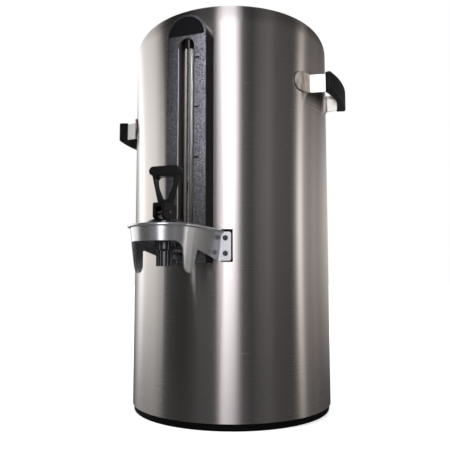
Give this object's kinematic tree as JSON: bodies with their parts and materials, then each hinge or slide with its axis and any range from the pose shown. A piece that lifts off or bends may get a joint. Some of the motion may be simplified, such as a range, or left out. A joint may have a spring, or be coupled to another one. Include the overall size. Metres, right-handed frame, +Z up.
{
  "type": "insulated coffee dispenser",
  "caption": "Tall round steel insulated beverage dispenser with a sight gauge, lever faucet, faucet guard, side handles and a lift-off lid.",
  "frame": {"origin": "centre of the base ring on the table, on the axis of the round body", "axes": "+Z up along the body axis, -Y towards the faucet and gauge, +X to the right of someone who looks along +Y"},
  "size_m": [0.3562, 0.424, 0.5843],
  "materials": {
    "skin_steel": "circumferential brushed satin",
    "liner_steel": "smooth bright inner steel",
    "guard_steel": "satin sheet",
    "fastener_steel": "machined",
    "housing_black": "fine pebbled texture",
    "gloss_black": "polished",
    "moulded_black": "satin moulded",
    "black_rubber": "matt",
    "silicone": "matt",
    "gauge_clear": "clear",
    "tube_plastic": "milky translucent"
  },
  "bodies": {
    "dispenser": {"outer_shell": "skin_steel", "neck_ring": "liner_steel", "inner_vessel": "liner_steel", "jacket_floor": "liner_steel", "drain_tube": "liner_steel", "base_ring": "black_rubber", "bottom_pan": "skin_steel", "gauge_housing": "housing_black", "badge_plate": "gloss_black", "gauge_glass": "gauge_clear", "gauge_cap": "moulded_black", "gauge_seal": "black_rubber", "faucet_shank": "moulded_black", "shank_washer": "black_rubber", "shank_nut": "moulded_black", "faucet_body": "gloss_black", "bonnet": "gloss_black", "valve_spring": "fastener_steel", "faucet_guard": "guard_steel", "guard_screws": "fastener_steel", "bracket_right": "guard_steel", "bracket_left": "guard_steel", "grip_right": "moulded_black", "grip_left": "moulded_black", "grip_screws": "fastener_steel"},
    "valve": {"valve_stem": "fastener_steel", "seat_cup": "silicone"},
    "tap": {"tap_handle": "gloss_black", "handle_pin": "fastener_steel"},
    "lid": {"lid": "moulded_black", "lid_gasket": "black_rubber", "mixing_tube": "tube_plastic"}
  },
  "joints": [
    {"name": "stem_lift", "type": "slide", "parent": "dispenser", "child": "valve", "axis": [0, 0, 1], "range_m": [0, 0.0062], "stiffness_N_per_m": 40, "springref_m": -0.004, "deforming": ["valve_spring"]},
    {"name": "handle_tilt", "type": "hinge", "parent": "valve", "child": "tap", "pos_m": [0, -0.23, 0.2717], "axis": [1, 0, 0], "range_deg": [0, 35]},
    {"name": "lid_lift", "type": "slide", "parent": "dispenser", "child": "lid", "axis": [0, 0, 1], "range_m": [0, 0.3]}
  ],
  "couplings": [
    {"joint": "stem_lift", "follows": "handle_tilt", "m_per_rad": 0.01}
  ]
}
